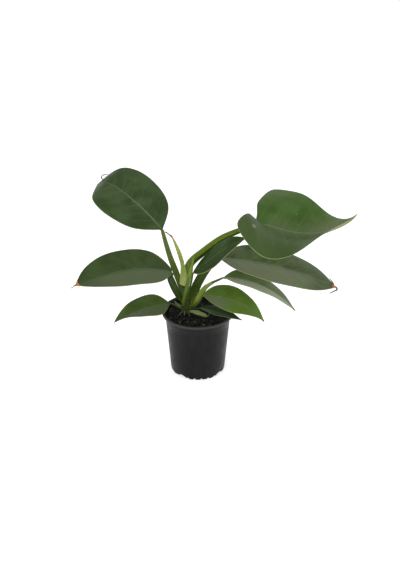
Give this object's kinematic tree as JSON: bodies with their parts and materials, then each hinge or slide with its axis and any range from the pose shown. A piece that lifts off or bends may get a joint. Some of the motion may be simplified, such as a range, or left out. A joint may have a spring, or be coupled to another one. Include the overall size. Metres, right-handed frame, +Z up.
{
  "type": "potted philodendron",
  "caption": "Young philodendron with heart-shaped and oval leaves on arching petioles, rooted in a round black nursery pot with a rolled lip.",
  "frame": {"origin": "centre of the round flat pad under the pot", "axes": "+Z up out of the pot, +X towards the side that the long leaves reach to, +Y away from the front"},
  "size_m": [0.5178, 0.2931, 0.352],
  "materials": {
    "pot": "satin black moulded plastic",
    "soil": "dark moist peat and bark",
    "stem": "brownish green crown with leaf scars",
    "leaf": "dark green leaf with a satin sheen and paler margins",
    "young_leaf": "pale yellow-green young leaf",
    "petiole": "smooth olive green stalk",
    "sheath": "pale green sheath with dry brown ends",
    "root": "cream root"
  },
  "bodies": {
    "root": {"pot": "pot", "soil": "soil", "stem": "stem", "leaf_upper_left": "leaf", "leaf_middle_left": "leaf", "leaf_lower_left": "leaf", "leaf_upper_right": "leaf", "leaf_long_right": "leaf", "leaf_inner_right": "leaf", "leaf_lower_right": "leaf", "leaf_front_right": "leaf", "leaf_over_rim": "leaf", "leaf_youngest": "young_leaf", "petiole_upper_left": "petiole", "petiole_middle_left": "petiole", "petiole_lower_left": "petiole", "petiole_upper_right": "petiole", "petiole_long_right": "petiole", "petiole_inner_right": "petiole", "petiole_lower_right": "petiole", "petiole_front_right": "petiole", "petiole_over_rim": "petiole", "petiole_youngest": "petiole", "dried_sheath": "sheath", "pointed_sheath": "sheath", "lower_right_sheath": "sheath", "lower_left_scrap": "sheath", "root_front": "root", "root_left": "root", "root_right": "root"}
  },
  "joints": []
}
